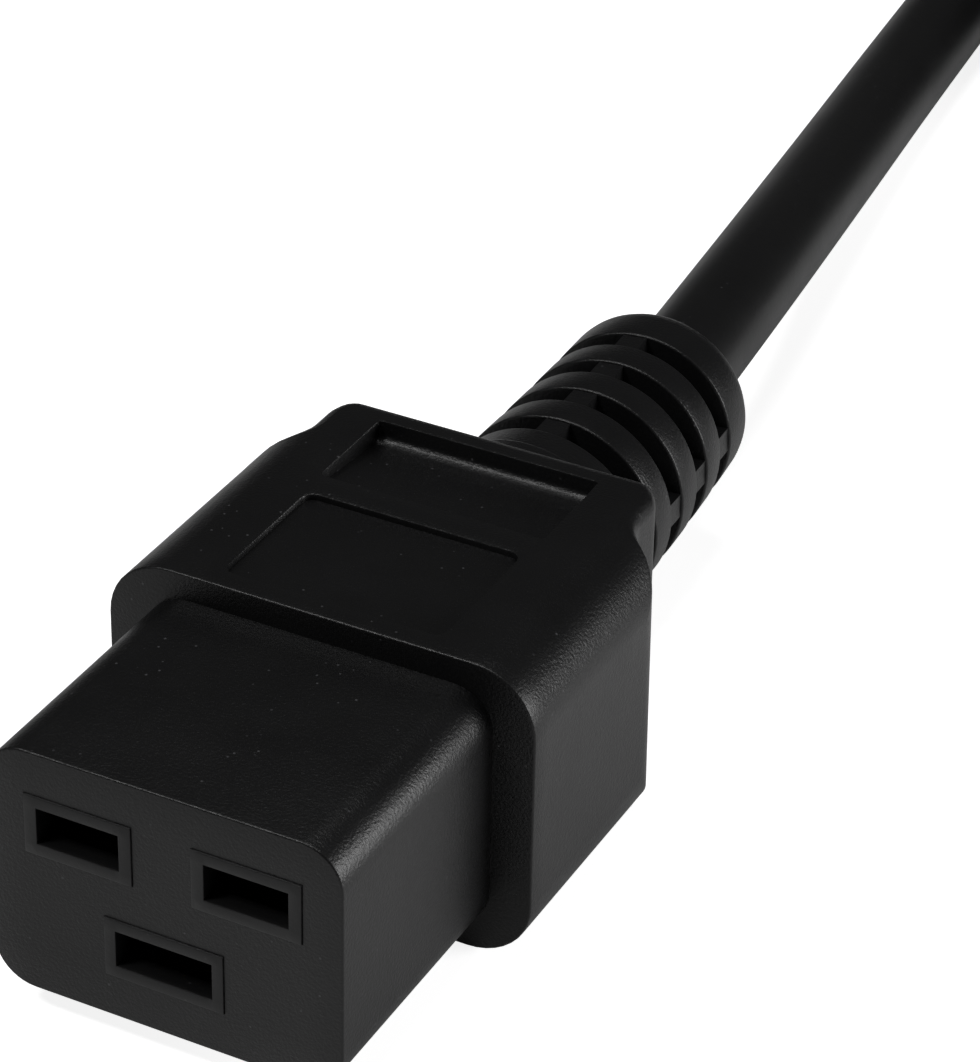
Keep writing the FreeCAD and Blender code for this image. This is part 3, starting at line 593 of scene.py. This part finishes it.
plug = {
    "block": {"half": 17.0, "top": 13.05, "radius": 4.5},
    "rear": 48.6,
    "cavity": {"half": 14.1, "top": 10.25, "radius": 3.4},
    "depth": 20.0,
    "edge": 0.3,
}


def middleOfFace(box):
    # the middle of the side that looks towards -y, in millimetres
    low, high = [[value / mm for value in corner] for corner in box]
    return (low[0] + high[0]) / 2, low[1], (low[2] + high[2]) / 2


connectorPlace = middleOfFace(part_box("connector_moulding"))
plugPlace = middleOfFace(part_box("plug_moulding"))
reliefStart = Vector((0, relief["collar"][1] - relief["overlap"], 0))


def cordLine():
    # the cord's own line inside the strain relief, in the connector's frame
    place = Vector(connectorPlace)
    start, bend, after = [Vector(point) - place for point in cord["route"][:3]]
    end = (bend + after) / 2
    points = [reliefStart]
    for i in range(steps["line"] + 1):
        t = i / steps["line"]
        points.append(start * (1 - t) ** 2 + bend * 2 * t * (1 - t) + end * t * t)
    return points


def around(recess, low, high):
    # a box a little larger than a recess, between two heights
    half, front, rear, room = recess["half"], recess["front"], recess["rear"], 10 * near
    return (-half - room, front - room, low), (half + room, rear + room, high)


def sink(mesh, recess, top):
    # a recess in the top with rounded corners; gives back its floor
    half, front, rear, depth = recess["half"], recess["front"], recess["rear"], recess["depth"]
    sliceAt(mesh, 0, [-half, half])
    sliceAt(mesh, 1, [front, rear])
    patch = facesIn(mesh, (0, 0, 1), (-half, front, top - near), (half, rear, top + near))
    push(mesh, patch, (0, 0, -depth))
    upright = edgesIn(mesh, *around(recess, top - depth - near, top + near), rise=depth / 2)
    rounded(mesh, upright, recess["corner"], 3)
    return facesIn(mesh, (0, 0, 1), *around(recess, top - depth - near, top - depth + near))


def softenRim(mesh, recess, top):
    rim = edgesIn(mesh, *around(recess, top - near, top + near))
    rounded(mesh, rim, connector["recessEdge"], 2)


def thumbDepth(y):
    # the floor falls towards the rear, then curves up to the rear wall
    thumb = connector["thumb"]
    shallow, deep, foot, rear = thumb["shallow"], thumb["depth"], thumb["foot"], thumb["rear"]
    if y < foot:
        return shallow + (deep - shallow) * (y - thumb["front"]) / (foot - thumb["front"])
    part = min((y - foot) / (rear - foot), 1)
    return thumb["wall"] + (deep - thumb["wall"]) * math.sqrt(1 - part ** 2)


def cutRecesses(mesh):
    top, thumb, panel = connector["block"]["top"], connector["thumb"], connector["panel"]
    sink(mesh, panel, top)
    floor = sink(mesh, thumb, top)
    foot, rear = thumb["foot"], thumb["rear"]
    places = [foot + (rear - foot) * math.sin(math.radians(angle)) for angle in thumb["curve"]]
    flat = foot - thumb["flat"]
    floor = sliceAt(mesh, 1, [flat] + places, floor)
    for vert in {vert for face in floor for vert in face.verts}:
        vert.co.z = top - thumbDepth(vert.co.y)
    softenRim(mesh, panel, top)
    softenRim(mesh, thumb, top)


def sleeveSides(sleeve, kind, gap=0):
    # left and right, then bottom and top, of a sleeve's outside or of its mouth
    wide, high = sleeve[kind] / 2 + gap, carrier["heights"][kind] / 2 + gap
    return [sleeve["x"] + side * wide for side in sides], [sleeve["z"] + side * high for side in sides]


def cutSleeves(mesh, kind, gap=0):
    rows = [sleeveSides(sleeve, kind, gap) for sleeve in carrier["sleeves"]]
    sliceAt(mesh, 0, {x for xs, zs in rows for x in xs})
    sliceAt(mesh, 2, {z for xs, zs in rows for z in zs})


def sleeveFaces(mesh, sleeve, kind, reach, gap=0):
    # the faces between those sides that look forward, within a reach along y
    xs, zs = sleeveSides(sleeve, kind, gap)
    return facesIn(mesh, (0, -1, 0), *zip(xs, reach, zs))


def makeNose():
    mesh = bmesh.new()
    form = connector["nose"]
    rear = station(connector["flange"] + connector["overlap"], outline(form, form["half"]))
    loft(mesh, edgeStations(form, 0, connector["edge"]) + [rear])
    cutSleeves(mesh, "outside", carrier["seam"])
    for sleeve in carrier["sleeves"]:
        window = sleeveFaces(mesh, sleeve, "outside", (-near, near), carrier["seam"])
        push(mesh, window, (0, carrier["front"], 0))
    return mesh


def makeConnector():
    block = bmesh.new()
    form = connector["block"]
    front = edgeStations(form, connector["flange"], connector["edge"])
    loft(block, front + gripStations(form, connector["rear"]))
    cutRecesses(block)
    whole = joined([makeNose(), block, makeRelief(cordLine())])
    finishPiece("connectorMoulding", whole, connectorPlace, "connector_moulding", "moulding")


def makeCarrier():
    # a plate with three slotted sleeves that come forward through the nose
    mesh = bmesh.new()
    bmesh.ops.create_cube(mesh, size=1)
    wide, high = carrier["plate"]
    bmesh.ops.scale(mesh, vec=(wide, carrier["rear"] - carrier["front"], high), verts=mesh.verts)
    bmesh.ops.translate(mesh, vec=(0, (carrier["front"] + carrier["rear"]) / 2, 0), verts=mesh.verts)
    cutSleeves(mesh, "outside")
    cutSleeves(mesh, "mouth")
    heights, proud, lip = carrier["heights"], carrier["proud"], carrier["lip"]
    for sleeve in carrier["sleeves"]:
        face = sleeveFaces(mesh, sleeve, "outside", (0, carrier["rear"]))
        push(mesh, face, (0, -carrier["front"] - proud, 0))
        slot = sleeveFaces(mesh, sleeve, "mouth", (-proud - near, 0))
        slot = push(mesh, slot, (0, lip + proud, 0))
        widening = (sleeve["cavity"] / sleeve["mouth"], 1, heights["cavity"] / heights["mouth"])
        slot = push(mesh, slot, (0, carrier["step"], 0), widening)
        push(mesh, slot, (0, carrier["depth"] - lip, 0))
    rims = edgesIn(mesh, (-wide, -proud - near, -high), (wide, near - proud, high))
    rounded(mesh, rims, carrier["edge"], 2)
    finishPiece("contactCarrier", mesh, connectorPlace, "contact_carrier", "carrier")


def makePlug():
    form, cavity, edge = plug["block"], plug["cavity"], plug["edge"]
    shell = bmesh.new()
    inner = outline(cavity, cavity["half"])
    flared = {key: cavity[key] + edge for key in cavity}
    well = [station(plug["depth"], inner), station(edge, inner), station(0, outline(flared, flared["half"]))]
    loft(shell, well + edgeStations(form, 0, edge) + gripStations(form, plug["rear"]))
    line = [reliefStart, Vector((0, relief["end"], 0))]
    whole = joined([shell, makeRelief(line)])
    return finishPiece("plugMoulding", whole, plugPlace, "plug_moulding", "moulding")


makeConnector()
makeCarrier()
plugPiece = makePlug()
print("mouldings made")

# Glow is what the camera sees, straight or through a clear piece, and what shiny pieces mirror.
studio = {
    "floor": {"half": 0.9, "colour": (0.8, 0.8, 0.8, 1), "rough": 0.8, "glow": {"seen": 0.86, "gloss": 0.07}},
    "lamps": {
        "front": {"place": (-0.25, -0.28, 0.55), "size": 0.15, "power": 1.7},
        "top": {"place": (0, 0, 0.8), "size": 0.3, "power": 1.7},
        "side": {"place": (0.95, 0.35, 0.2), "size": 0.5, "power": 8.5},
    },
    "aim": (0, 0, 0.01),
    "sky": {"light": 0.03, "glow": {"seen": 0.97, "gloss": 0.03}},
}


def backdrop(graph, glow):
    # a strength that rays only see, so that it throws no light on matt surfaces
    rays = graph.node("ShaderNodeLightPath", output="Is Camera Ray")
    straight = rays + rays.part("Is Transmission Ray")
    return straight * glow["seen"] + rays.part("Is Glossy Ray") * glow["gloss"]


def makeFloor():
    look = studio["floor"]
    mesh = bmesh.new()
    bmesh.ops.create_grid(mesh, x_segments=1, y_segments=1, size=look["half"])
    data = bpy.data.meshes.new("floor")
    mesh.to_mesh(data)
    mesh.free()
    floor = bpy.data.objects.new("floor", data)
    bpy.context.scene.collection.objects.link(floor)
    graph = Graph("floor")
    graph.set(Base_Color=look["colour"], Roughness=look["rough"], Emission_Color=(1, 1, 1, 1),
              Emission_Strength=backdrop(graph, look["glow"]))
    data.materials.append(graph.material)


def makeLamp(name, look):
    data = bpy.data.lights.new(name, "AREA")
    data.shape = "DISK"
    data.size = look["size"]
    data.energy = look["power"]
    lamp = bpy.data.objects.new(name, data)
    lamp.location = look["place"]
    towards = Vector(studio["aim"]) - Vector(look["place"])
    lamp.rotation_euler = towards.to_track_quat("-Z", "Y").to_euler()
    bpy.context.scene.collection.objects.link(lamp)


def makeWorld():
    world = bpy.data.worlds.new("studio")
    bpy.context.scene.world = world
    world.use_nodes = True
    graph = Graph("studio", world.node_tree)
    back = world.node_tree.nodes["Background"]
    graph.feed(back.inputs["Color"], (1, 1, 1, 1))
    sky = studio["sky"]
    graph.feed(back.inputs["Strength"], sky["light"] + backdrop(graph, sky["glow"]))


makeFloor()
for name, look in studio["lamps"].items():
    makeLamp(name, look)
makeWorld()
bpy.context.scene.view_settings.view_transform = "Standard"
print("studio lit")

bpy.context.view_layer.update()
